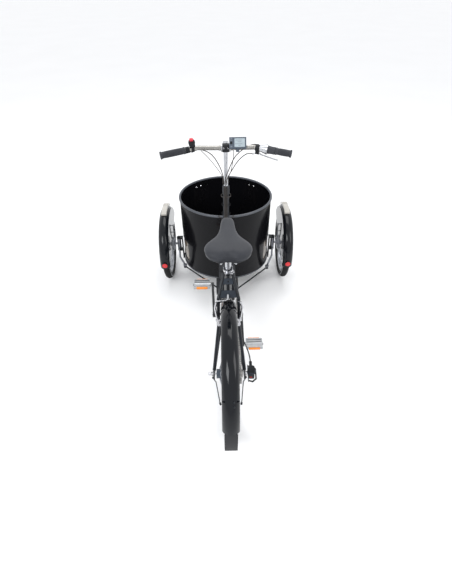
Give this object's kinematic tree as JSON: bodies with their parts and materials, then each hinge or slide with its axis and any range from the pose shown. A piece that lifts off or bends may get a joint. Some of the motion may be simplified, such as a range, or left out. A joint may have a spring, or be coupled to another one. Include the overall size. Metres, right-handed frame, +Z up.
{
  "type": "adult cargo tricycle",
  "caption": "Adult cargo tricycle with a round open tub between two steered front wheels, a straight handlebar, saddle, cranks and one chain-driven rear wheel under a long fender.",
  "frame": {"origin": "on the ground, under the middle of the machine's length and width", "axes": "+Y is the way it rides, +X is to the rider's right, +Z is up"},
  "size_m": [0.891, 1.792, 1.142],
  "materials": {
    "tub_shell": "gloss",
    "tub_floor": "fine grain",
    "hoop": "satin",
    "window": "clear, brown tint",
    "bolt": "polished",
    "frame_paint": "gloss",
    "alloy": "satin",
    "bar": "satin",
    "polished": "polished",
    "chain_steel": "oiled",
    "black_plastic": "satin",
    "fender_gloss": "gloss",
    "flap_rubber": "matte",
    "cable_skin": "satin",
    "battery_case": "fine grain",
    "grip_rubber": "matte",
    "lever_black": "gloss",
    "horn_red": "gloss",
    "display_case": "satin",
    "lamp": "gloss",
    "tyre_rubber": "moulded",
    "hub_grey": "satin",
    "crank_black": "satin",
    "pedal_alloy": "cast",
    "saddle_cover": "fine grain",
    "knuckle_grey": "cast"
  },
  "bodies": {
    "frame": {"tub_rear_wall": "tub_shell", "tub_front_wall": "tub_shell", "tub_floor": "tub_floor", "tub_hoops": "hoop", "tub_windows": "window", "tub_bolts": "bolt", "front_beam": "frame_paint", "column_tube": "frame_paint", "main_frame": "frame_paint", "rear_triangle": "frame_paint", "seat_clamp": "alloy", "rear_axle": "polished", "click_box": "black_plastic", "chain": "chain_steel", "rear_fender": "fender_gloss", "mud_flap": "flap_rubber", "fender_stays": "frame_paint", "brake_cables": "cable_skin"},
    "battery": {"battery": "battery_case"},
    "steering": {"steering_column": "frame_paint", "stem": "alloy", "handlebar": "bar", "handlebar_cables": "cable_skin", "grip_left": "grip_rubber", "grip_right": "grip_rubber", "shifter_housing": "alloy", "brake_bracket_left": "lever_black", "brake_bracket_right": "lever_black", "horn_body": "black_plastic", "display": "display_case"},
    "twist_grip": {"twist_grip": "grip_rubber"},
    "lever_left": {"brake_lever_left": "lever_black"},
    "lever_right": {"brake_lever_right": "alloy"},
    "horn_button": {"horn_button": "horn_red"},
    "mode_button": {"mode_button": "black_plastic"},
    "knuckle_left": {"knuckle_left": "knuckle_grey", "front_fender_left": "fender_gloss", "fender_lights_left": "lamp"},
    "knuckle_right": {"knuckle_right": "knuckle_grey", "front_fender_right": "fender_gloss", "fender_lights_right": "lamp"},
    "tie_rod_left": {"tie_rod_left": "frame_paint"},
    "tie_rod_right": {"tie_rod_right": "frame_paint"},
    "front_wheel_left": {"front_wheel_left": "alloy", "front_tyre_left": "tyre_rubber"},
    "front_wheel_right": {"front_wheel_right": "alloy", "front_tyre_right": "tyre_rubber"},
    "rear_wheel": {"rear_rim": "alloy", "rear_hub": "hub_grey", "rear_tyre": "tyre_rubber"},
    "sprocket": {"sprocket": "chain_steel"},
    "crank": {"chainring": "crank_black", "crank_left": "crank_black", "crank_right": "crank_black"},
    "pedal_left": {"pedal_left": "pedal_alloy"},
    "pedal_right": {"pedal_right": "pedal_alloy"},
    "seat": {"seatpost": "alloy", "saddle": "saddle_cover"},
    "v_brake_left": {"v_brake_left": "alloy"},
    "v_brake_right": {"v_brake_right": "alloy"}
  },
  "joints": [
    {"name": "battery_lift", "type": "slide", "parent": "frame", "child": "battery", "axis": [0, 0, 1], "range_m": [0, 0.1]},
    {"name": "steering_turn", "type": "hinge", "parent": "frame", "child": "steering", "pos_m": [0, 0.296, 0.5], "axis": [0, 0, 1], "range_deg": [-28, 28]},
    {"name": "knuckle_left_turn", "type": "hinge", "parent": "frame", "child": "knuckle_left", "pos_m": [-0.335, 0.646, 0.25], "axis": [0, 0, 1], "range_deg": [-28.5, 28.5]},
    {"name": "knuckle_right_turn", "type": "hinge", "parent": "frame", "child": "knuckle_right", "pos_m": [0.335, 0.646, 0.25], "axis": [0, 0, 1], "range_deg": [-28.5, 28.5]},
    {"name": "tie_rod_left_turn", "type": "hinge", "parent": "steering", "child": "tie_rod_left", "pos_m": [0.04, 0.186, 0.126], "axis": [0, 0, 1], "range_deg": [-28.5, 28.5]},
    {"name": "tie_rod_right_turn", "type": "hinge", "parent": "steering", "child": "tie_rod_right", "pos_m": [-0.04, 0.186, 0.104], "axis": [0, 0, 1], "range_deg": [-28.5, 28.5]},
    {"name": "front_wheel_left_spin", "type": "hinge", "parent": "knuckle_left", "child": "front_wheel_left", "pos_m": [-0.41, 0.646, 0.25], "axis": [1, 0, 0], "continuous": true},
    {"name": "front_wheel_right_spin", "type": "hinge", "parent": "knuckle_right", "child": "front_wheel_right", "pos_m": [0.41, 0.646, 0.25], "axis": [1, 0, 0], "continuous": true},
    {"name": "rear_wheel_spin", "type": "hinge", "parent": "frame", "child": "rear_wheel", "pos_m": [0, -0.554, 0.33], "axis": [1, 0, 0], "continuous": true},
    {"name": "crank_turn", "type": "hinge", "parent": "frame", "child": "crank", "pos_m": [0, -0.124, 0.292], "axis": [1, 0, 0], "continuous": true},
    {"name": "sprocket_spin", "type": "hinge", "parent": "frame", "child": "sprocket", "pos_m": [0, -0.554, 0.33], "axis": [1, 0, 0], "continuous": true},
    {"name": "pedal_left_spin", "type": "hinge", "parent": "crank", "child": "pedal_left", "pos_m": [-0.14, 0.00996, 0.39666], "axis": [1, 0, 0], "continuous": true},
    {"name": "pedal_right_spin", "type": "hinge", "parent": "crank", "child": "pedal_right", "pos_m": [0.14, -0.25796, 0.18734], "axis": [1, 0, 0], "continuous": true},
    {"name": "brake_lever_right_squeeze", "type": "hinge", "parent": "steering", "child": "lever_right", "pos_m": [0.15732, 0.22675, 1.06646], "axis": [-0.2966, -0.879, -0.3733], "range_deg": [0, 16], "stiffness_Nm_per_rad": 0.6, "springref_deg": -8.59},
    {"name": "brake_lever_left_squeeze", "type": "hinge", "parent": "steering", "child": "lever_left", "pos_m": [-0.19398, 0.22827, 1.07316], "axis": [-0.23, 0.5298, 0.8163], "range_deg": [0, 16], "stiffness_Nm_per_rad": 0.6, "springref_deg": -8.59},
    {"name": "twist_grip_turn", "type": "hinge", "parent": "steering", "child": "twist_grip", "pos_m": [0.311, 0.17, 1.078], "axis": [-0.9544, 0.2869, 0.0828], "range_deg": [0, 80]},
    {"name": "horn_push", "type": "slide", "parent": "steering", "child": "horn_button", "axis": [0.0793, 0.0238, -0.9966], "range_m": [0, 0.003], "stiffness_N_per_m": 400, "springref_m": -0.001},
    {"name": "mode_push", "type": "slide", "parent": "steering", "child": "mode_button", "axis": [0, 0.866, -0.5], "range_m": [0, 0.001], "stiffness_N_per_m": 600, "springref_m": -0.001},
    {"name": "saddle_height", "type": "slide", "parent": "frame", "child": "seat", "axis": [0, -0.3746, 0.9272], "range_m": [-0.06, 0.08]},
    {"name": "v_brake_left_swing", "type": "hinge", "parent": "frame", "child": "v_brake_left", "pos_m": [-0.043, -0.441, 0.556], "axis": [0, 0.8866, -0.4625], "range_deg": [0, 5.2]},
    {"name": "v_brake_right_swing", "type": "hinge", "parent": "frame", "child": "v_brake_right", "pos_m": [0.043, -0.441, 0.556], "axis": [0, -0.8866, 0.4625], "range_deg": [0, 5.2]}
  ],
  "couplings": [
    {"joint": "knuckle_left_turn", "follows": "steering_turn", "ratio": 1},
    {"joint": "knuckle_right_turn", "follows": "steering_turn", "ratio": 1},
    {"joint": "tie_rod_left_turn", "follows": "steering_turn", "ratio": -1},
    {"joint": "tie_rod_right_turn", "follows": "steering_turn", "ratio": -1},
    {"joint": "sprocket_spin", "follows": "crank_turn", "ratio": 2},
    {"joint": "v_brake_left_swing", "follows": "brake_lever_right_squeeze", "ratio": 0.32},
    {"joint": "v_brake_right_swing", "follows": "brake_lever_right_squeeze", "ratio": 0.32}
  ]
}
